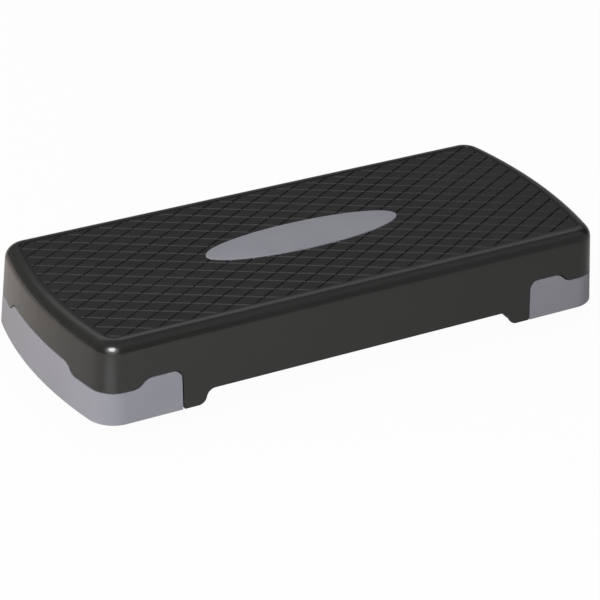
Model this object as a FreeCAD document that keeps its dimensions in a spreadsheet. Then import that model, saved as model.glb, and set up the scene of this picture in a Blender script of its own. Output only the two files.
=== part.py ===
import FreeCAD, Part
import math
import os
from types import SimpleNamespace
from FreeCAD import Placement, Rotation, Vector

# Aerobic step with two settings: a black platform on two grey legs that swing under its ends.
# X runs along the step, -Y is its front, Z is up, and the origin is on the floor under its middle.

doc = FreeCAD.newDocument("aerobic_step")

# Driving dimensions, in millimetres and degrees. Insets and starts are measured in from an end of the step.
drivingSizes = {
    # overall form
    "step_length": 675.0,
    "step_width": 286.6,
    "moulding_height": 95.6,
    "end_bow": 18.9,
    "corner_radius": 33.5,
    "least_corner": 0.7,
    "wall_draft": 4.45,
    "rim_radius": 15.7,
    "pad_proud": 1.0,
    # platform shell
    "shell_wall": 3.0,
    "deck_thickness": 3.0,
    "rim_width": 22.6,
    "recess_depth": 4.0,
    "rib_thickness": 2.2,
    "rib_pitch": 56.0,
    "bulkhead_inset": 115.7,
    "arch_inset": 152.0,
    "arch_run": 21.0,
    "foot_round": 2.0,
    "eased_edge": 0.6,
    "rim_edge": 1.2,
    # seam between the platform and a leg, heights above the foot of the mouldings
    "seam_inset": 113.0,
    "seam_gap": 1.2,
    "seam_high": 48.2,
    "seam_low": 37.8,
    "seam_corner": 11.0,
    "side_dip_inset": 78.5,
    "side_dip_run": 24.0,
    "end_dip_y": 64.0,
    "end_dip_run": 23.0,
    # hinge
    "hinge_inset": 133.5,
    "hinge_height": 9.2,
    "pin_radius": 3.0,
    "pin_fit": 0.05,
    "pin_head_radius": 5.5,
    "pin_head_height": 2.0,
    "pin_tail": 1.5,
    "eye_radius": 6.2,
    "inner_lug": 5.0,
    "outer_lug": 4.0,
    "arm_width": 10.0,
    "arm_play": 0.5,
    "arm_overlap": 2.0,
    "stop_gap": 0.3,
    "clip_radius": 6.0,
    "clip_thickness": 1.2,
    # leg
    "leg_wall": 3.0,
    "leg_height": 65.0,
    "rail_inset": 22.0,
    "rail_width": 40.0,
    "rail_start": 101.5,
    "gusset_height": 27.0,
    "gusset_thickness": 2.4,
    "gusset_overlap": 0.25,
    "end_gusset_y": 45.0,
    # rubber pads
    "pad_radius": 7.5,
    "pad_sunk": 1.0,
    "pad_fit": 0.2,
    "pad_stem": 2.5,
    "pad_barb": 3.4,
    "pad_barb_height": 1.5,
    # tread mat
    "mat_thickness": 3.0,
    "mat_gap": 0.4,
    "mat_edge": 0.4,
    "groove_angle": 29.5,
    "groove_pitch": 19.1,
    "groove_width": 2.4,
    "groove_depth": 1.2,
    "groove_border": 2.0,
    "groove_shift": 5.7,
    # oval insert
    "insert_length": 248.6,
    "insert_width": 62.8,
    "insert_thickness": 4.0,
    "insert_gap": 0.6,
    "insert_edge": 0.8,
    "peg_radius": 3.0,
    "peg_fit": 0.2,
    "peg_tail": 2.0,
    "peg_y": 12.0,
}


def fillSheet(name, values):
    sheet = doc.addObject("Spreadsheet::Sheet", name)
    for row, (alias, value) in enumerate(values.items(), 1):
        sheet.set(f"A{row}", alias)
        sheet.set(f"B{row}", repr(value))
        sheet.setAlias(f"B{row}", alias)
    doc.recompute()
    return SimpleNamespace(**{alias: sheet.get(alias) for alias in values})


size = fillSheet("sizes", drivingSizes)

# Places that follow from the driving dimensions
halfLength = size.step_length / 2
halfWidth = size.step_width / 2
endRadius = (halfWidth**2 + size.end_bow**2) / (2 * size.end_bow)
endCentre = halfLength - endRadius
draftPerHeight = math.tan(math.radians(size.wall_draft))
mouldingFoot = size.pad_proud
rimTop = mouldingFoot + size.moulding_height
deckTop = rimTop - size.recess_depth
deckUnder = deckTop - size.deck_thickness
seamX = halfLength - size.seam_inset
sideDipX = halfLength - size.side_dip_inset
hingeAt = halfLength - size.hinge_inset
railX = halfLength - size.rail_start
railY = halfWidth - size.rail_inset - size.rail_width / 2
legTop = mouldingFoot + size.leg_height
lugStart = halfWidth - size.rail_inset - size.arm_overlap - size.arm_play - size.inner_lug
bulkheadX = halfLength - size.bulkhead_inset
ribBays = round(bulkheadX / size.rib_pitch)
ribStep = bulkheadX / ribBays

place = fillSheet("places", {
    "moulding_foot": mouldingFoot,
    "deck_top": deckTop,
    "deck_under": deckUnder,
    "arch_top": 2 * size.hinge_height - mouldingFoot + size.stop_gap,
    "rib_foot": 2 * size.hinge_height + size.stop_gap,
    "end_rib_foot": legTop + size.pad_proud + size.stop_gap,
    "rib_step": ribStep,
    "bulkhead_x": bulkheadX,
    "hinge_x": hingeAt,
    "rail_x": railX,
    "rail_y": railY,
    "leg_top": legTop,
    "flange_y": halfWidth - (size.leg_wall + size.rail_inset) / 2,
    "inner_lug_y": lugStart,
    "arm_y": lugStart + size.inner_lug + size.arm_play,
    "outer_lug_y": lugStart + size.inner_lug + size.arm_width + 2 * size.arm_play,
    "end_wall_x": halfLength - size.shell_wall,
    "rib_reach": halfWidth - size.shell_wall,
    "floor_pad_x": 2 * hingeAt - bulkheadX + 2 * ribStep,
    "end_floor_pad_x": halfLength - (size.leg_wall + size.rail_inset) / 2,
    "riser_pad_x": railX + size.leg_wall + size.pad_radius,
    "end_riser_pad_x": halfLength - size.rail_inset - size.rail_width / 2,
    "peg_x": (ribStep + 2 * ribStep) / 2,
})


def bind(item, **expressions):
    for name, expression in expressions.items():
        item.setExpression(name.replace("__", "."), expression)
    return item


def placeAt(item, x="0", y="0", z="0"):
    return bind(item, Placement__Base__x=x, Placement__Base__y=y, Placement__Base__z=z)


def box(name, length, width, height, x, y, z):
    item = doc.addObject("Part::Box", name)
    bind(item, Length=length, Width=width, Height=height)
    return placeAt(item, x, y, z)


def upright(name, radius, height, x, y, z):
    item = doc.addObject("Part::Cylinder", name)
    bind(item, Radius=radius, Height=height)
    return placeAt(item, x, y, z)


# A cylinder along Y that starts at y and runs away from the middle of the step
def crossways(name, radius, height, x, y, z, ySide):
    item = doc.addObject("Part::Cylinder", name)
    item.Placement = Placement(Vector(), Rotation(Vector(1, 0, 0), -90 * ySide))
    bind(item, Radius=radius, Height=height)
    return placeAt(item, x, y, z)


def fuse(name, pieces):
    item = doc.addObject("Part::MultiFuse", name)
    item.Shapes = pieces
    item.Refine = False
    return item


def join(kind, name, base, tool):
    item = doc.addObject("Part::" + kind, name)
    item.Base = base
    item.Tool = tool
    item.Refine = False
    return item


def cut(name, base, tools):
    return join("Cut", name, base, tools[0] if len(tools) == 1 else fuse(name + "_tools", tools))


# Sketch paths: a start, then (x, y) for a line to there or (middle, end) for an arc
flat = Rotation()
lengthways = Rotation(Vector(1, 0, 0), 90)
endways = Rotation(Vector(1, 1, 1), 120)


def sketch(name, path, turn=flat, offset=(0, 0, 0)):
    item = doc.addObject("Sketcher::SketchObject", name)
    here = Vector(*path[0])
    for step in path[1:]:
        if isinstance(step[0], tuple):
            there = Vector(*step[1])
            item.addGeometry(Part.Arc(here, Vector(*step[0]), there), False)
        else:
            there = Vector(*step)
            item.addGeometry(Part.LineSegment(here, there), False)
        here = there
    item.Placement = Placement(Vector(*offset), turn)
    return item


def extrude(name, base, length, symmetric=False):
    item = doc.addObject("Part::Extrusion", name)
    item.Base = base
    item.DirMode = "Normal"
    item.Solid = True
    item.Symmetric = symmetric
    return bind(item, LengthFwd=length)


def polar(centre, radius, angle):
    return (centre[0] + radius * math.cos(angle), centre[1] + radius * math.sin(angle))


def mirrored(path, side):
    flipped = []
    for step in path:
        if isinstance(step[0], tuple):
            flipped.append(tuple((side * x, y) for x, y in step))
        else:
            flipped.append((side * step[0], step[1]))
    return flipped


# The bowed right end of the outline, from its front corner to its rear one, set in by inset
def endPath(inset):
    radius = max(size.corner_radius - inset, size.least_corner)
    cornerY = halfWidth - inset - radius
    cornerX = endCentre + math.sqrt((endRadius - inset - radius) ** 2 - cornerY**2)
    turn = math.atan2(cornerY, cornerX - endCentre)
    halfTurn = (turn + math.pi / 2) / 2
    front = (cornerX, -cornerY)
    rear = (cornerX, cornerY)
    return [
        (cornerX, inset - halfWidth),
        (polar(front, radius, -halfTurn), polar(front, radius, -turn)),
        ((halfLength - inset, 0), polar(rear, radius, turn)),
        (polar(rear, radius, halfTurn), (cornerX, halfWidth - inset)),
    ]


def reversePath(path):
    turned = [path[-1][1] if isinstance(path[-1][0], tuple) else path[-1]]
    for before, step in zip(reversed(path[:-1]), reversed(path[1:])):
        end = before[1] if isinstance(before[0], tuple) else before
        turned.append((step[0], end) if isinstance(step[0], tuple) else end)
    return turned


def outline(inset):
    right = endPath(inset)
    left = mirrored(reversePath(right), -1)
    return right + left + [right[0]]


def draftedSolid(name, inset, height):
    sections = []
    for level, above in (("foot", 0.0), ("head", height)):
        path = outline(inset + above * draftPerHeight)
        sections.append(sketch(f"{name}_{level}", path, flat, (0, 0, mouldingFoot + above)))
    item = doc.addObject("Part::Loft", name)
    item.Sections = sections
    item.Solid = True
    item.Ruled = True
    return item


# An S-shaped step down from one level to the next, with its edge moved out by offset
def dip(x, run, high, low, offset):
    radius = (run**2 + (high - low) ** 2) / (4 * (high - low))
    upper = (x, high - radius)
    lower = (x + run, low + radius)
    turn = math.atan2(lower[1] - upper[1], lower[0] - upper[0])
    upperMiddle = (turn + math.pi / 2) / 2
    crossing = polar(upper, radius + offset, turn)
    return [
        (x, high + offset),
        (polar(upper, radius + offset, upperMiddle), crossing),
        (polar(lower, radius - offset, upperMiddle + math.pi), (x + run, low + offset)),
    ]


seamHigh = mouldingFoot + size.seam_high
seamLow = mouldingFoot + size.seam_low
pastEnd = halfLength + size.corner_radius
underFloor = mouldingFoot - size.corner_radius


# Seam on the long sides, offset towards the platform (+) or towards the leg (-)
def sideSeam(offset, footRound):
    start = seamX - offset
    cornerCentre = (seamX + size.seam_corner, seamHigh - size.seam_corner)
    cornerReach = size.seam_corner + offset
    path = [(start - footRound, underFloor)]
    if footRound:
        centre = (start - footRound, mouldingFoot + footRound)
        path.append((start - footRound, mouldingFoot))
        path.append((polar(centre, footRound, -math.pi / 4), (start, mouldingFoot + footRound)))
    path.append((start, cornerCentre[1]))
    path.append((polar(cornerCentre, cornerReach, 3 * math.pi / 4), (cornerCentre[0], seamHigh + offset)))
    path += dip(sideDipX, size.side_dip_run, seamHigh, seamLow, offset)
    path += [(pastEnd, seamLow + offset), (pastEnd, underFloor), path[0]]
    return path


# Seam on the bowed end
def endSeam(offset):
    right = dip(size.end_dip_y, size.end_dip_run, seamHigh, seamLow, offset)
    right.append((halfWidth + size.corner_radius, seamLow + offset))
    right.append((halfWidth + size.corner_radius, underFloor))
    left = mirrored(reversePath(right), -1)
    return right + left + [right[0]]


def legSpace(name, side, offset, footRound=0.0):
    sideProfile = sketch(name + "_side", mirrored(sideSeam(offset, footRound), side), lengthways)
    sidePrism = extrude(name + "_side_prism", sideProfile, "2 * sizes.step_width", True)
    endStart = side * (sideDipX + size.side_dip_run)
    endProfile = sketch(name + "_end", endSeam(offset), endways, (endStart, 0, 0))
    endPrism = extrude(name + "_end_prism", endProfile, "sizes.step_length / 4")
    endPrism.Reversed = side < 0
    return fuse(name, [sidePrism, endPrism])


# Points closer than this are taken to be at one place
touching = 0.001


def filleted(name, base, radius, chosen):
    doc.recompute()
    item = doc.addObject("Part::Fillet", name)
    item.Base = base
    item.Edges = [(i, radius, radius) for i, edge in enumerate(base.Shape.Edges, 1) if chosen(edge)]
    return item


def liesAt(edge, height):
    return all(abs(vertex.Point.z - height) < touching for vertex in edge.Vertexes)


# How far a point lies inside the outline of the step's foot
def insetAt(point):
    x = abs(point.x)
    y = abs(point.y)
    cornerY = halfWidth - size.corner_radius
    cornerX = endCentre + math.sqrt((endRadius - size.corner_radius) ** 2 - cornerY**2)
    if x < cornerX:
        return halfWidth - y
    if (y - cornerY) * (cornerX - endCentre) > (x - cornerX) * cornerY:
        return size.corner_radius - math.hypot(x - cornerX, y - cornerY)
    return endRadius - math.hypot(x - endCentre, y)


def onWall(point):
    return abs(insetAt(point) - (point.z - mouldingFoot) * draftPerHeight) < touching


# A moulding with the edges eased where its drafted outer wall ends, up to the given height
def easedWall(name, base, height):
    doc.recompute()
    shape = base.Shape
    wall = [face for face in shape.Faces if all(onWall(vertex.Point) for vertex in face.Vertexes)]

    def bordersWall(edge):
        if any(vertex.Point.z > height for vertex in edge.Vertexes):
            return False
        return sum(1 for face in wall for side in face.Edges if side.isSame(edge)) == 1

    return filleted(name, base, size.eased_edge, bordersWall)


sides = (("left", -1), ("right", 1))
rows = (("front", -1), ("rear", 1))
parts = {}


def keep(name, item):
    item.Label = name
    parts[name] = item


# Platform shell: drafted skirt and deck in one moulding, with ribs and hinge lugs inside
block = draftedSolid("platform_block", 0.0, size.moulding_height)
rounded = filleted("platform_rounded", block, size.rim_radius, lambda edge: liesAt(edge, rimTop))
cavityBlank = draftedSolid("cavity_blank", size.shell_wall, deckUnder - mouldingFoot)
cavity = filleted(
    "platform_cavity", cavityBlank, size.rim_radius - size.shell_wall, lambda edge: liesAt(edge, deckUnder))
recess = extrude(
    "mat_recess",
    sketch("mat_recess_outline", outline(size.rim_width), flat, (0, 0, deckTop)),
    "2 * sizes.recess_depth",
)
archHalf = halfLength - size.arch_inset
archRight = dip(archHalf, size.arch_run, place.arch_top, mouldingFoot, 0.0)
archRight.append((archHalf + size.arch_run, underFloor))
archPath = archRight + mirrored(reversePath(archRight), -1) + [archRight[0]]
arch = extrude("side_arch", sketch("side_arch_edge", archPath, lengthways), "2 * sizes.step_width", True)
legHollows = [
    legSpace(f"{end}_leg_hollow", side, size.seam_gap / 2, size.foot_round) for end, side in sides]
hollowed = cut("platform_skirt", rounded, [cavity, recess, arch] + legHollows)
lipX = halfLength - size.rim_width + touching
lipY = halfWidth - size.rim_width + touching


# The inner edge of the rim, and not the outer one that its fillet runs into
def onLip(edge):
    middle = edge.valueAt((edge.FirstParameter + edge.LastParameter) / 2)
    points = [vertex.Point for vertex in edge.Vertexes] + [middle]
    return liesAt(edge, rimTop) and all(abs(p.x) < lipX and abs(p.y) < lipY for p in points)


lipped = filleted("platform_lipped", hollowed, size.rim_edge, onLip)
skirt = easedWall("platform_eased", lipped, rimTop - 2 * size.rim_radius)

ribs = []
ribTop = "places.deck_under + sizes.deck_thickness / 2"
for count in range(-ribBays, ribBays + 1):
    ribs.append(box(
        f"cross_rib_{count + ribBays}",
        "sizes.rib_thickness", "2 * places.rib_reach", f"{ribTop} - places.rib_foot",
        f"{count} * places.rib_step - sizes.rib_thickness / 2", "-places.rib_reach", "places.rib_foot"))
for count in range(-2, 3):
    y = f"{count} * places.rail_y / 2 - sizes.rib_thickness / 2"
    ribs.append(box(
        f"long_rib_{count + 2}",
        "2 * places.bulkhead_x", "sizes.rib_thickness", f"{ribTop} - places.rib_foot",
        "-places.bulkhead_x", y, "places.rib_foot"))
    ribs.append(box(
        f"end_rib_{count + 2}",
        "2 * places.end_wall_x", "sizes.rib_thickness", f"{ribTop} - places.end_rib_foot",
        "-places.end_wall_x", y, "places.end_rib_foot"))
ribGrid = join("Common", "rib_grid", fuse("rib_boxes", ribs), rounded)

lugs = []
pinHoles = []
pegHoles = []
for end, side in sides:
    hingeX = f"{side} * places.hinge_x"
    for row, ySide in rows:
        for lug, start, width in (
            ("inner", "places.inner_lug_y", "sizes.inner_lug"),
            ("outer", "places.outer_lug_y", "sizes.outer_lug"),
        ):
            name = f"{end}_{row}_{lug}_lug"
            y = f"{ySide} * {start}"
            lugs.append(crossways(
                name + "_eye", "sizes.eye_radius", width, hingeX, y, "sizes.hinge_height", ySide))
            postY = y if ySide > 0 else f"{y} - {width}"
            lugs.append(box(
                name + "_post", "2 * sizes.eye_radius", width, f"{ribTop} - sizes.hinge_height",
                f"{hingeX} - sizes.eye_radius", postY, "sizes.hinge_height"))
        pinHoles.append(crossways(
            f"{end}_{row}_pin_hole", "sizes.pin_radius + sizes.pin_fit",
            "places.outer_lug_y + sizes.outer_lug - places.inner_lug_y",
            hingeX, f"{ySide} * places.inner_lug_y", "sizes.hinge_height", ySide))
        pegHoles.append(upright(
            f"{end}_{row}_peg_hole", "sizes.peg_radius + sizes.peg_fit", "2 * sizes.deck_thickness",
            f"{side} * places.peg_x", f"{ySide} * sizes.peg_y",
            "places.deck_under - sizes.deck_thickness / 2"))
solidShell = fuse("platform_solid", [skirt, ribGrid] + lugs)
keep("platform_shell", cut("platform_drilled", solidShell, pinHoles + pegHoles))


# Tread mat with crossed V grooves and a window for the oval insert
def ovalPrism(name, grow, foot, height):
    curve = doc.addObject("Part::Ellipse", name + "_edge")
    bind(
        curve,
        MajorRadius=f"sizes.insert_length / 2 + {grow}",
        MinorRadius=f"sizes.insert_width / 2 + {grow}",
    )
    placeAt(curve, z=foot)
    return extrude(name, curve, height)


matInset = size.rim_width + size.mat_gap
matTop = deckTop + size.mat_thickness
matBlank = extrude(
    "mat_blank", sketch("mat_outline", outline(matInset), flat, (0, 0, deckTop)), "sizes.mat_thickness")
window = ovalPrism("mat_window", "sizes.insert_gap", "places.deck_top", "sizes.mat_thickness")
fieldInset = matInset + size.groove_border
fieldEdge = sketch("groove_field_edge", outline(fieldInset), flat, (0, 0, deckTop))
fieldPrism = extrude("groove_field", fieldEdge, "sizes.recess_depth")
matPlate = filleted(
    "mat_plate", join("Cut", "mat_cut", matBlank, window), size.mat_edge, lambda edge: liesAt(edge, matTop))
doc.recompute()


def grooveBlades():
    slant = math.radians(size.groove_angle)
    reach = (halfLength - fieldInset) * math.sin(slant) + (halfWidth - fieldInset) * math.cos(slant)
    count = int((reach + size.groove_shift) / size.groove_pitch) + 1
    lift = size.groove_depth / 2
    halfMouth = size.groove_width / 2 * (size.groove_depth + lift) / size.groove_depth
    section = [
        Vector(-size.step_length, 0, matTop - size.groove_depth),
        Vector(-size.step_length, halfMouth, matTop + lift),
        Vector(-size.step_length, -halfMouth, matTop + lift),
    ]
    blade = Part.Face(Part.makePolygon(section + section[:1])).extrude(Vector(2 * size.step_length, 0, 0))
    blades = []
    for turn in (1, -1):
        for number in range(-count, count + 1):
            one = blade.translated(Vector(0, number * size.groove_pitch, 0))
            one.rotate(Vector(), Vector(0, 0, 1), turn * size.groove_angle)
            one.translate(Vector(size.groove_shift, 0, 0))
            blades += one.common(fieldPrism.Shape).Solids
    return blades


grooved = doc.addObject("Part::Feature", "mat_grooved")
grooved.Shape = matPlate.Shape.cut(grooveBlades())
keep("tread_mat", grooved)

# Oval insert on four pegs, and the clips that hold the pegs
oval = ovalPrism("insert_blank", "0", "places.deck_top", "sizes.insert_thickness")
insertTop = deckTop + size.insert_thickness
ovalRounded = filleted("insert_rounded", oval, size.insert_edge, lambda edge: liesAt(edge, insertTop))
pegs = []
pegClips = []
for end, side in sides:
    for row, ySide in rows:
        name = f"{end}_{row}_peg"
        at = (f"{side} * places.peg_x", f"{ySide} * sizes.peg_y")
        clipFoot = "places.deck_under - sizes.clip_thickness"
        pegs.append(upright(
            name, "sizes.peg_radius", "sizes.deck_thickness + sizes.clip_thickness + sizes.peg_tail",
            *at, f"{clipFoot} - sizes.peg_tail"))
        pegDisc = upright(name + "_disc", "sizes.clip_radius", "sizes.clip_thickness", *at, clipFoot)
        pegBore = upright(
            name + "_bore", "sizes.peg_radius + sizes.pin_fit", "sizes.clip_thickness", *at, clipFoot)
        pegClips.append(join("Cut", name + "_clip", pegDisc, pegBore))
keep("oval_insert", fuse("insert_solid", [ovalRounded] + pegs))
clipGroup = doc.addObject("Part::Compound", "insert_clip_group")
clipGroup.Links = pegClips
keep("insert_clips", clipGroup)


# Hinge pins with a head on the inner lug and a push-on clip behind the outer one
for end, side in sides:
    hingeX = f"{side} * places.hinge_x"
    for row, ySide in rows:
        name = f"{end}_{row}"
        clipY = "places.outer_lug_y + sizes.outer_lug"
        head = crossways(
            name + "_pin_head", "sizes.pin_head_radius", "sizes.pin_head_height", hingeX,
            f"{ySide} * (places.inner_lug_y - sizes.pin_head_height)", "sizes.hinge_height", ySide)
        shank = crossways(
            name + "_pin_shank", "sizes.pin_radius",
            f"{clipY} + sizes.clip_thickness + sizes.pin_tail - places.inner_lug_y",
            hingeX, f"{ySide} * places.inner_lug_y", "sizes.hinge_height", ySide)
        keep(name + "_hinge_pin", fuse(name + "_pin_solid", [head, shank]))
        disc = crossways(
            name + "_clip_disc", "sizes.clip_radius", "sizes.clip_thickness",
            hingeX, f"{ySide} * ({clipY})", "sizes.hinge_height", ySide)
        bore = crossways(
            name + "_clip_bore", "sizes.pin_radius + sizes.pin_fit", "sizes.clip_thickness",
            hingeX, f"{ySide} * ({clipY})", "sizes.hinge_height", ySide)
        keep(name + "_pin_clip", join("Cut", name + "_clip_ring", disc, bore))


# A rubber pad: disc half sunk in its seat, stem through the plate and a barb behind it.
# facing is -1 for a pad that looks down from the foot of a leg, 1 for one on its top.
def rubberPad(name, x, y, plate, facing):
    def disc(label, radius, start, height):
        foot = f"{plate} + {facing} * ({start})" if facing > 0 else f"{plate} - ({start}) - ({height})"
        return upright(f"{name}_{label}", radius, height, x, y, foot)

    pieces = [
        disc("disc", "sizes.pad_radius", "-sizes.pad_sunk", "sizes.pad_sunk + sizes.pad_proud"),
        disc("stem", "sizes.pad_stem", "-sizes.leg_wall", "sizes.leg_wall - sizes.pad_sunk"),
        disc("barb", "sizes.pad_barb", "-sizes.leg_wall - sizes.pad_barb_height", "sizes.pad_barb_height"),
    ]
    keep(name, fuse(name + "_solid", pieces))
    return [
        disc("seat", "sizes.pad_radius + sizes.pad_fit", "-sizes.pad_sunk", "2 * sizes.pad_sunk"),
        disc("hole", "sizes.pad_stem + sizes.pad_fit", "-2 * sizes.leg_wall", "2 * sizes.leg_wall"),
    ]


# A U-shaped path between two insets of the outline, open towards the middle of the step
def bandPath(outer, inner, start):
    outside = endPath(outer)
    inside = reversePath(endPath(inner))
    path = [(start, outer - halfWidth)] + outside
    path += [(start, halfWidth - outer), (start, halfWidth - inner)] + inside
    return path + [(start, inner - halfWidth), path[0]]


# The hollow rail of a leg in plan, shrunk by inset on every side
def railPath(inset):
    start = railX + inset
    innerY = halfWidth - size.rail_inset - size.rail_width + inset
    innerX = halfLength - size.rail_inset - size.rail_width + inset
    path = [(start, size.rail_inset + inset - halfWidth)] + endPath(size.rail_inset + inset)
    path += [(start, halfWidth - size.rail_inset - inset), (start, innerY), (innerX, innerY)]
    return path + [(innerX, -innerY), (start, -innerY), path[0]]


# A plan of the right leg drawn at its foot, or flipped for the left one
def footSketch(name, path, side):
    return sketch(name, mirrored(path, side), flat, (0, 0, mouldingFoot))


legBlock = draftedSolid("leg_block", 0.0, size.leg_height)
legHollow = draftedSolid("leg_hollow", size.leg_wall, size.leg_height)
legRing = join("Cut", "leg_ring", legBlock, legHollow)
gussetOuter = size.leg_wall - size.gusset_overlap

for end, side in sides:
    leg = end + "_leg"
    fasciaBlank = join("Common", leg + "_fascia", legRing, legSpace(leg + "_space", side, -size.seam_gap / 2))
    fascia = easedWall(leg + "_eased", fasciaBlank, legTop)
    flangeStart = seamX + size.seam_gap / 2
    flangePath = bandPath(size.leg_wall / 2, size.rail_inset + size.leg_wall / 2, flangeStart)
    flange = extrude(leg + "_flange", footSketch(leg + "_flange_edge", flangePath, side), "sizes.leg_wall")
    rail = extrude(leg + "_rail", footSketch(leg + "_rail_edge", railPath(0.0), side), "sizes.leg_height")
    railCore = footSketch(leg + "_rail_core", railPath(size.leg_wall), side)
    railHollow = extrude(leg + "_rail_hollow", railCore, "sizes.leg_height - sizes.leg_wall")
    pieces = [fascia, flange, join("Cut", leg + "_rail_shell", rail, railHollow)]
    holes = []
    for row, ySide in rows:
        name = f"{leg}_{row}"
        armStart = "places.arm_y" if ySide > 0 else "-places.arm_y - sizes.arm_width"
        armLength = "places.rail_x + 2 * sizes.leg_wall - places.hinge_x"
        pieces.append(box(
            name + "_arm", armLength, "sizes.arm_width", "2 * sizes.eye_radius",
            "places.hinge_x" if side > 0 else f"-places.hinge_x - ({armLength})", armStart,
            "sizes.hinge_height - sizes.eye_radius"))
        hinge = (f"{side} * places.hinge_x", f"{ySide} * places.arm_y", "sizes.hinge_height", ySide)
        pieces.append(crossways(name + "_eye", "sizes.eye_radius", "sizes.arm_width", *hinge))
        holes.append(crossways(
            name + "_eye_hole", "sizes.pin_radius + sizes.pin_fit", "sizes.arm_width", *hinge))
        gussetY = halfWidth - size.rail_inset - size.leg_wall / 2
        gussetWidth = halfWidth - gussetOuter - gussetY
        pieces.append(box(
            name + "_gusset", "sizes.gusset_thickness", repr(gussetWidth), "sizes.gusset_height",
            f"{side} * (places.riser_pad_x + places.floor_pad_x) / 2 - sizes.gusset_thickness / 2",
            repr(gussetY if ySide > 0 else -gussetY - gussetWidth), "places.moulding_foot"))
        endX = endCentre + math.sqrt((endRadius - gussetOuter) ** 2 - size.end_gusset_y**2)
        railEnd = endCentre + math.sqrt((endRadius - size.rail_inset) ** 2 - size.end_gusset_y**2)
        gussetStart = railEnd - size.leg_wall / 2
        pieces.append(box(
            name + "_end_gusset", repr(endX - gussetStart), "sizes.gusset_thickness", "sizes.gusset_height",
            repr(gussetStart if side > 0 else -endX),
            f"{ySide} * sizes.end_gusset_y - sizes.gusset_thickness / 2", "places.moulding_foot"))
        holes += rubberPad(
            f"{end}_{row}_floor_pad", f"{side} * places.floor_pad_x", f"{ySide} * places.flange_y",
            "places.moulding_foot", -1)
        holes += rubberPad(
            f"{end}_{row}_riser_pad", f"{side} * places.riser_pad_x", f"{ySide} * places.rail_y",
            "places.leg_top", 1)
    holes += rubberPad(
        f"{end}_end_floor_pad", f"{side} * places.end_floor_pad_x", "0", "places.moulding_foot", -1)
    holes += rubberPad(
        f"{end}_end_riser_pad", f"{side} * places.end_riser_pad_x", "0", "places.leg_top", 1)
    keep(leg, cut(leg + "_drilled", fuse(leg + "_solid", pieces), holes))

doc.recompute()
for item in doc.Objects:
    if "Invalid" in item.State or "Error" in item.State:
        raise RuntimeError(f"{item.Name} failed: {item.State}")
for name, item in parts.items():
    if item.Shape.isNull() or not item.Shape.isValid() or not item.Shape.Solids:
        raise RuntimeError(f"{name} has no valid solid")

os.makedirs("parts", exist_ok=True)
for name, item in parts.items():
    item.Shape.exportStep(f"parts/{name}.step")
    bounds = item.Shape.BoundBox
    print(f"{name}: {len(item.Shape.Solids)} solid, {item.Shape.Volume / 1000:.2f} cm3,"
          f" z {bounds.ZMin:.2f} to {bounds.ZMax:.2f}")
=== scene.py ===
import bpy
import bmesh
import math
from mathutils import Matrix, Vector


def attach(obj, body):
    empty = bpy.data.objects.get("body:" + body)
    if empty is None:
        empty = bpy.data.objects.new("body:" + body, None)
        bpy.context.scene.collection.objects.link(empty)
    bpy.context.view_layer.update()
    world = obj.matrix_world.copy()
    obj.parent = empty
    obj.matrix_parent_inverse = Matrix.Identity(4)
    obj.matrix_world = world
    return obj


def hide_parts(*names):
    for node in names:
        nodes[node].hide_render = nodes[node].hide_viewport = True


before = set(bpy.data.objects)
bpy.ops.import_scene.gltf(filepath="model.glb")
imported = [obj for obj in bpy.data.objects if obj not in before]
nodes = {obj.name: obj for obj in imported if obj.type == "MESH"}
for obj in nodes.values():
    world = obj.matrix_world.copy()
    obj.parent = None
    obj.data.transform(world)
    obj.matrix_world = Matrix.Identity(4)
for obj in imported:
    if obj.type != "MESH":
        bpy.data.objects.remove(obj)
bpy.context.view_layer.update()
scene = bpy.context.scene
scene.view_settings.view_transform = "Standard"
print("frame loaded,", len(nodes), "nodes")

mm = 0.001
noiseMean = 0.5


# a shader socket that takes part in plain sums
class Wire:
    def __init__(self, finish, socket):
        self.finish = finish
        self.socket = socket

    def sum(self, operation, first, second):
        return self.finish.node("ShaderNodeMath", {"operation": operation}, {0: first, 1: second})

    def __add__(self, other):
        return self.sum("ADD", self, other)

    def __sub__(self, other):
        return self.sum("SUBTRACT", self, other)

    def __mul__(self, other):
        return self.sum("MULTIPLY", self, other)

    __radd__ = __add__
    __rmul__ = __mul__

    def __rsub__(self, other):
        return self.sum("SUBTRACT", other, self)


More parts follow.
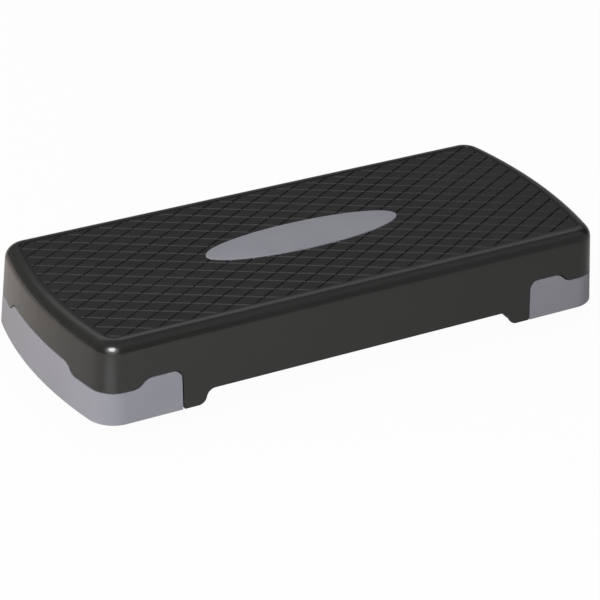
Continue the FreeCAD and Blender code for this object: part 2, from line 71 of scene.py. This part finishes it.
# one node tree, of a material or of the world
class Finish:
    def __init__(self, tree):
        self.tree = tree

    def node(self, kind, settings=None, inputs=None, output=0):
        made = self.tree.nodes.new(kind)
        for name, value in (settings or {}).items():
            setattr(made, name, value)
        for key, value in (inputs or {}).items():
            self.feed(made.inputs[key], value)
        return Wire(self, made.outputs[output])

    def feed(self, socket, value):
        if isinstance(value, Wire):
            self.tree.links.new(value.socket, socket)
        else:
            socket.default_value = value

    def place(self):
        return self.node("ShaderNodeTexCoord", output="Object")

    def split(self, vector, axis):
        return self.node("ShaderNodeSeparateXYZ", None, {0: vector}, axis)

    def noise(self, scale, detail, roughness, stretch=None):
        vector = self.place()
        if stretch:
            vector = self.node("ShaderNodeMapping", None, {"Vector": vector, "Scale": stretch})
        return self.node("ShaderNodeTexNoise", None, {
            "Vector": vector, "Scale": scale, "Detail": detail, "Roughness": roughness})

    def spread(self, value, low, high, toLow=0.0, toHigh=1.0):
        return self.node("ShaderNodeMapRange", {"interpolation_type": "SMOOTHSTEP"}, {
            "Value": value, "From Min": low, "From Max": high, "To Min": toLow, "To Max": toHigh})

    # sockets 6 and 7 and output 2 are the colours of a Mix node
    def tint(self, share, first, second):
        return self.node("ShaderNodeMix", {"data_type": "RGBA"}, {0: share, 6: first, 7: second}, 2)

    def edgeWear(self):
        return self.node("ShaderNodeAttribute", {"attribute_name": "edgeWear"}, output="Fac")

    def bump(self, height, distance, strength):
        return self.node("ShaderNodeBump", None, {
            "Height": height, "Distance": distance, "Strength": strength})

    def dress(self, colour, roughness, normal):
        self.feed(self.shader.inputs["Base Color"], colour)
        self.feed(self.shader.inputs["Roughness"], roughness)
        self.feed(self.shader.inputs["Normal"], normal)
        return self.material


def newFinish(name, **constants):
    material = bpy.data.materials.new(name)
    material.use_nodes = True
    finish = Finish(material.node_tree)
    finish.material = material
    finish.shader = material.node_tree.nodes["Principled BSDF"]
    for key, value in constants.items():
        finish.shader.inputs[key.replace("_", " ")].default_value = value
    return finish


def grey(level, warm=0.0):
    return (level * (1 + warm), level, level * (1 - warm), 1.0)


# satin black moulding of the platform
shellLook = {
    "base": (0.0130, 0.0130, 0.0126, 1.0),
    "scuffed": (0.034, 0.034, 0.033, 1.0),
    "specular": 0.5,
    "roughness": 0.20,
    "grain": (1500.0, 2.0, 0.6),  # scale, detail and roughness of the noise
    "grainBump": (0.02 * mm, 0.35),  # depth and strength
    "cloud": (14.0, 3.0, 0.55),
    "cloudLimits": (0.3, 0.8),
    "cloudShare": 0.06,
    "cloudRoughness": 0.05,
    "scratch": (60.0, 6.0, 0.7, (0.25, 4.0, 4.0)),  # drawn out along the step
    "scratchLimits": (0.60, 0.78),
    "wearShare": 0.6,
    "wearRoughness": 0.15,
}


def shellFinish():
    look = shellLook
    finish = newFinish("shellPlastic", Specular_IOR_Level=look["specular"])
    grain = finish.noise(*look["grain"])
    cloud = finish.noise(*look["cloud"])
    scratch = finish.noise(*look["scratch"])
    wear = finish.spread(scratch, *look["scratchLimits"]) * finish.edgeWear()
    share = wear * look["wearShare"] + finish.spread(cloud, *look["cloudLimits"]) * look["cloudShare"]
    rough = (cloud - noiseMean) * look["cloudRoughness"] + wear * look["wearRoughness"] + look["roughness"]
    colour = finish.tint(share, look["base"], look["scuffed"])
    return finish.dress(colour, rough, finish.bump(grain, *look["grainBump"]))


# matt black elastomer of the tread
treadLook = {
    "base": (0.0078, 0.0078, 0.0079, 1.0),
    "dusty": (0.016, 0.016, 0.016, 1.0),
    "specular": 0.36,
    "roughness": 0.32,
    "grain": (1100.0, 3.0, 0.65),
    "grainBump": (0.08 * mm, 0.5),
    "grainLimits": (0.55, 0.8),
    "grainShare": 0.25,
    "cloud": (9.0, 4.0, 0.6),
    "cloudLimits": (0.35, 0.75),
    "cloudShare": 0.35,
    "cloudRoughness": 0.12,
}


def treadFinish():
    look = treadLook
    finish = newFinish("treadRubber", Specular_IOR_Level=look["specular"])
    grain = finish.noise(*look["grain"])
    cloud = finish.noise(*look["cloud"])
    share = finish.spread(cloud, *look["cloudLimits"]) * look["cloudShare"]
    share = share + finish.spread(grain, *look["grainLimits"]) * look["grainShare"]
    rough = (cloud - noiseMean) * look["cloudRoughness"] + look["roughness"]
    colour = finish.tint(share, look["base"], look["dusty"])
    return finish.dress(colour, rough, finish.bump(grain, *look["grainBump"]))


# satin grey moulding of the legs and of the oval insert
greyLook = {
    "base": (0.232, 0.235, 0.271, 1.0),
    "pale": (0.256, 0.259, 0.296, 1.0),
    "rubbed": (0.33, 0.33, 0.35, 1.0),
    "specular": 0.45,
    "roughness": 0.42,
    "grain": (1700.0, 2.0, 0.6),
    "grainBump": (0.045 * mm, 0.35),
    "cloud": (11.0, 3.0, 0.55),
    "cloudLimits": (0.3, 0.75),
    "cloudRoughness": 0.10,
    "scratch": (70.0, 6.0, 0.7, (0.3, 3.0, 3.0)),
    "scratchLimits": (0.58, 0.76),
    "wearShare": 0.7,
    "wearRoughness": 0.1,
}


def greyFinish():
    look = greyLook
    finish = newFinish("greyPlastic", Specular_IOR_Level=look["specular"])
    grain = finish.noise(*look["grain"])
    cloud = finish.noise(*look["cloud"])
    scratch = finish.noise(*look["scratch"])
    wear = finish.spread(scratch, *look["scratchLimits"]) * finish.edgeWear()
    body = finish.tint(finish.spread(cloud, *look["cloudLimits"]), look["base"], look["pale"])
    rough = (cloud - noiseMean) * look["cloudRoughness"] + wear * look["wearRoughness"] + look["roughness"]
    colour = finish.tint(wear * look["wearShare"], body, look["rubbed"])
    return finish.dress(colour, rough, finish.bump(grain, *look["grainBump"]))


# turned steel of the pins, and darker spring steel of the clips
steelLook = {
    "pinSteel": (grey(0.56), grey(0.38, 0.03), 0.3),  # bright and stained colour, roughness
    "clipSteel": (grey(0.06), grey(0.035, 0.04), 0.5),
    "turned": (900.0, 3.0, 0.6, (1.0, 0.05, 1.0)),
    "turnedBump": (0.02 * mm, 0.4),
    "turnedRoughness": 0.2,
    "stain": (160.0, 4.0, 0.6),
    "stainLimits": (0.45, 0.75),
}


def steelFinish(name):
    look = steelLook
    bright, stained, roughness = look[name]
    finish = newFinish(name, Metallic=1.0)
    turned = finish.noise(*look["turned"])
    stain = finish.spread(finish.noise(*look["stain"]), *look["stainLimits"])
    rough = (turned - noiseMean) * look["turnedRoughness"] + roughness
    colour = finish.tint(stain, bright, stained)
    return finish.dress(colour, rough, finish.bump(turned, *look["turnedBump"]))


# soft black rubber of the pads
padLook = {
    "base": grey(0.018),
    "dusty": grey(0.045, 0.05),
    "specular": 0.3,
    "roughness": 0.66,
    "grain": (1300.0, 3.0, 0.65),
    "grainBump": (0.06 * mm, 0.5),
    "dust": (120.0, 4.0, 0.6),
    "dustLimits": (0.45, 0.8),
    "dustRoughness": 0.1,
}


def padFinish():
    look = padLook
    finish = newFinish("padRubber", Specular_IOR_Level=look["specular"])
    grain = finish.noise(*look["grain"])
    dust = finish.spread(finish.noise(*look["dust"]), *look["dustLimits"])
    rough = dust * look["dustRoughness"] + look["roughness"]
    colour = finish.tint(dust, look["base"], look["dusty"])
    return finish.dress(colour, rough, finish.bump(grain, *look["grainBump"]))


shellPlastic = shellFinish()
treadRubber = treadFinish()
greyPlastic = greyFinish()
padRubber = padFinish()
pinSteel = steelFinish("pinSteel")
clipSteel = steelFinish("clipSteel")
print("materials made")


def finishFor(name):
    if name == "platform_shell":
        return shellPlastic
    if name == "tread_mat":
        return treadRubber
    if name.endswith("_pad"):
        return padRubber
    if name.endswith("_hinge_pin"):
        return pinSteel
    if name.endswith("clip") or name.endswith("clips"):
        return clipSteel
    return greyPlastic


for name, item in nodes.items():
    item.data.materials.clear()
    item.data.materials.append(finishFor(name))


# merged copies of the large mouldings, so that their rounded edges shade evenly
mouldings = {
    "mergeDistance": 0.002 * mm,
    "flatWithin": math.radians(0.15),  # between triangles of one flat face
    "edgeBand": 0.45 * mm,  # area over girth of the narrow faces along a rounded edge
    "pieces": {  # node: piece, body, slot, angle from which an edge is sharp
        "platform_shell": ("platformMoulding", "platform", "shell_plastic", 50.0),
        "left_leg": ("leftLegMoulding", "left_leg_unit", "grey_plastic", 50.0),
        "right_leg": ("rightLegMoulding", "right_leg_unit", "grey_plastic", 50.0),
        "tread_mat": ("treadPanel", "platform", "tread_rubber", 30.0),
        "oval_insert": ("ovalPlate", "platform", "grey_plastic", 50.0),
    },
}


def mergedCopy(nodeName, pieceName, body, slotName, sharpFrom):
    shape = bmesh.new()
    shape.from_mesh(nodes[nodeName].data)
    bmesh.ops.remove_doubles(shape, verts=shape.verts, dist=mouldings["mergeDistance"])
    bmesh.ops.dissolve_limit(
        shape, angle_limit=mouldings["flatWithin"], verts=shape.verts, edges=shape.edges)
    wear = shape.loops.layers.float.new("edgeWear")
    for face in shape.faces:
        face.smooth = True
        narrow = face.calc_area() < mouldings["edgeBand"] * face.calc_perimeter()
        for corner in face.loops:
            corner[wear] = 1.0 if narrow else 0.0
    for edge in shape.edges:
        edge.smooth = edge.calc_face_angle(0.0) < math.radians(sharpFrom)
    mesh = bpy.data.meshes.new(pieceName)
    shape.to_mesh(mesh)
    shape.free()
    mesh.materials.append(finishFor(nodeName))
    piece = bpy.data.objects.new(pieceName, mesh)
    scene.collection.objects.link(piece)
    even = piece.modifiers.new("evenShading", "WEIGHTED_NORMAL")
    even.keep_sharp = True
    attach(piece, body)
    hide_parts(nodeName)
    print(pieceName, len(mesh.vertices), "points", len(mesh.polygons), "faces")


for nodeName, facts in mouldings["pieces"].items():
    mergedCopy(nodeName, *facts)


# camera at the photograph's viewpoint, angles in degrees
view = {
    "azimuth": -30.434,
    "elevation": 28.806,
    "roll": 2.133,
    "distance": 2732.648 * mm,
    "target": (-37.733 * mm, -63.210 * mm, 51.0 * mm),
    "lens": 145.532,
    "sensor": 36.0,
    "farthest": 50.0,
}


def makeCamera():
    turn = math.radians(view["azimuth"])
    lift = math.radians(view["elevation"])
    roll = math.radians(view["roll"])
    back = Vector((math.sin(turn) * math.cos(lift), -math.cos(turn) * math.cos(lift), math.sin(lift)))
    level = Vector((math.cos(turn), math.sin(turn), 0.0))
    upward = back.cross(level)
    right = math.cos(roll) * level + math.sin(roll) * upward
    upward = math.cos(roll) * upward - math.sin(roll) * level
    data = bpy.data.cameras.new("camera")
    data.lens = view["lens"]
    data.sensor_width = view["sensor"]
    data.clip_end = view["farthest"]
    camera = bpy.data.objects.new("camera", data)
    turned = Matrix((right, upward, back)).transposed().to_4x4()
    turned.translation = Vector(view["target"]) + back * view["distance"]
    camera.matrix_world = turned
    scene.collection.objects.link(camera)
    scene.camera = camera


makeCamera()
print("camera placed")


# white for the camera and through glass, and the rays that satin surfaces mirror
def backdropRays(finish):
    path = finish.tree.nodes.new("ShaderNodeLightPath")
    camera = Wire(finish, path.outputs["Is Camera Ray"])
    through = Wire(finish, path.outputs["Is Transmission Ray"])
    glossy = Wire(finish, path.outputs["Is Glossy Ray"])
    return camera.sum("MAXIMUM", camera, through), glossy


# pale floor, with painted light: lighter, warmer paint behind the step on the left
floorLook = {
    "level": -48.6 * mm,  # where the step's feet stand at the raised setting
    "size": 12.0,
    "warm": (0.90, 0.81, 0.75, 1.0),  # painted light: floor painted lighter and warmer behind the step on the left, for the left end to mirror
    "plain": (0.60, 0.595, 0.585, 1.0),  # and everywhere else
    "fade": (-0.9, -0.3),  # where one turns into the other, on the diagonal
    "roughness": 0.9,
    "specular": 0.1,
    "shadow": 0.03,  # share of the paint, with its shadow, in the white that the camera sees
    "glow": 0.15,  # share of plain white in what the satin walls mirror of the floor
    "poolSpot": (-0.475, -0.345),  # pool of light that the front left corner mirrors
    "poolRadius": 0.17,
    "poolShare": 0.6,
    "poolLight": 1.9,
}


def makeFloor():
    look = floorLook
    shape = bmesh.new()
    bmesh.ops.create_grid(shape, x_segments=1, y_segments=1, size=look["size"] / 2)
    bmesh.ops.translate(shape, vec=(0.0, 0.0, look["level"]), verts=shape.verts)
    mesh = bpy.data.meshes.new("floor")
    shape.to_mesh(mesh)
    shape.free()
    floor = bpy.data.objects.new("floor", mesh)
    scene.collection.objects.link(floor)
    finish = newFinish("floorPaintWithPaintedLight", Roughness=look["roughness"], Specular_IOR_Level=look["specular"])
    along = finish.split(finish.place(), 0)
    deep = finish.split(finish.place(), 1)
    across = finish.spread(along - deep, *look["fade"])
    # painted light: the floor's colour turns lighter and warmer behind the step on the left
    finish.feed(finish.shader.inputs["Base Color"], finish.tint(across, look["warm"], look["plain"]))
    seen, glossy = backdropRays(finish)
    sideways = along - look["poolSpot"][0]
    forward = deep - look["poolSpot"][1]
    pool = finish.spread(sideways * sideways + forward * forward, look["poolRadius"] ** 2, 0.0) * glossy
    light = finish.tint(pool, grey(1.0), grey(look["poolLight"]))
    glow = finish.node("ShaderNodeEmission", None, {"Color": light, "Strength": 1.0})
    mirrored = glossy * look["glow"] + pool * look["poolShare"]
    share = seen.sum("MAXIMUM", seen * (1 - look["shadow"]), mirrored)
    painted = Wire(finish, finish.shader.outputs[0])
    surface = finish.node("ShaderNodeMixShader", None, {0: share, 1: painted, 2: glow})
    finish.feed(finish.tree.nodes["Material Output"].inputs["Surface"], surface)
    mesh.materials.append(finish.material)


# soft light of the studio: first what falls on matt surfaces, then what satin ones mirror from each side
# a pair of limits says where a light fades in along that axis, and two more numbers its strength at each
studio = {
    "plain": 0.2,
    "left": (1.53, 1.45, 1.37, 1.0),
    "leftLimits": (-0.3, -0.8),
    "leftLean": 0.3,  # towards the back
    "wallBehind": (0.1, 0.45),
    "wallAlong": (-0.4, 0.4, 0.20, 0.18),
    "low": 0.10,  # at the foot of the wall on the right
    "lowAlong": (0.45, 0.6),
    "lowHeight": (0.35, 0.15),
    "panel": 0.92,  # high up behind
    "panelBehind": (-0.05, 0.3),
    "panelSlope": 0.3,
    "panelFoot": (0.53, 0.66),
    "panelTop": (0.88, 0.80),
    "panelLeft": (-0.45, 0.1),
    "panelAlong": (0.3, 0.55, 0.8, 1.2),
    "ceiling": 0.20,
    "ceilingHeight": (0.45, 0.75),
    "frontBehind": (0.0, -0.3),
    "frontAlong": (0.3, 0.6, 0.05, 0.30),
    "right": 0.35,  # high up on the right
    "rightAlong": (0.5, 0.62),
    "rightHeight": (0.47, 0.57),
    "rightBehind": (0.1, 0.35),
}


def makeWorld():
    world = bpy.data.worlds.new("studio")
    world.use_nodes = True
    scene.world = world
    finish = Finish(world.node_tree)
    spread = finish.spread
    seen, glossy = backdropRays(finish)
    direction = finish.node("ShaderNodeTexCoord", output="Generated")
    along = finish.split(direction, 0)
    behind = finish.split(direction, 1)
    height = finish.split(direction, 2)
    wall = spread(behind, *studio["wallBehind"]) * spread(along, *studio["wallAlong"])
    low = spread(along, *studio["lowAlong"]) * spread(height, *studio["lowHeight"]) * studio["low"]
    panel = spread(behind, *studio["panelBehind"]) * spread(along, *studio["panelLeft"])
    panel = panel * spread(height - along * studio["panelSlope"], *studio["panelFoot"])
    panel = panel * spread(height, *studio["panelTop"]) * spread(along, *studio["panelAlong"])
    panel = panel * studio["panel"]
    ceiling = spread(height, *studio["ceilingHeight"]) * studio["ceiling"]
    front = spread(behind, *studio["frontBehind"]) * spread(along, *studio["frontAlong"])
    right = spread(along, *studio["rightAlong"]) * spread(height, *studio["rightHeight"])
    right = right * spread(behind, *studio["rightBehind"]) * studio["right"]
    mirrored = wall + low + panel + ceiling + front + right
    leftward = spread(along - behind * studio["leftLean"], *studio["leftLimits"])
    lit = finish.tint(leftward, grey(studio["plain"]), studio["left"])
    colour = finish.tint(seen, finish.tint(glossy, lit, mirrored), grey(1.0))
    finish.feed(world.node_tree.nodes["Background"].inputs["Color"], colour)


# large soft lamps, two for the matt light and three for the glints
lamps = {  # place and aim, size in metres, power in watts, the one piece that it gives a glint
    "frontLamp": ((-0.85, -0.98, 0.827), (-0.2, -0.05, 0.06), 0.47, 10.6, None),
    "overheadLamp": ((-0.49, -0.64, 1.40), (-0.1, 0.0, 0.05), 1.5, 9.2, None),
    "cornerGlint": ((-0.817, -0.933, 0.788), (-0.2, -0.05, 0.06), 0.62, 18.4, "platformMoulding"),
    "cornerHalo": ((-1.042, -1.288, 0.70), (-0.31, -0.13, 0.09), 1.73, 11.1, "platformMoulding"),
    "treadGlint": ((-0.47, -0.61, 1.33), (-0.1, 0.0, 0.05), 1.2, 6.4, "treadPanel"),
}


def makeLamps():
    for name, (spot, aim, size, power, pieceName) in lamps.items():
        data = bpy.data.lights.new(name, "AREA")
        data.shape = "DISK"
        data.size = size
        data.energy = power
        lamp = bpy.data.objects.new(name, data)
        lamp.visible_camera = False
        lamp.visible_diffuse = pieceName is None
        lamp.visible_glossy = pieceName is not None
        if pieceName:
            lit = bpy.data.collections.new(name)
            lit.objects.link(bpy.data.objects[pieceName])
            lamp.light_linking.receiver_collection = lit
        lamp.location = spot
        lamp.rotation_euler = (Vector(aim) - Vector(spot)).to_track_quat("-Z", "Y").to_euler()
        scene.collection.objects.link(lamp)


makeFloor()
makeWorld()
makeLamps()
print("studio set up")

bpy.context.view_layer.update()
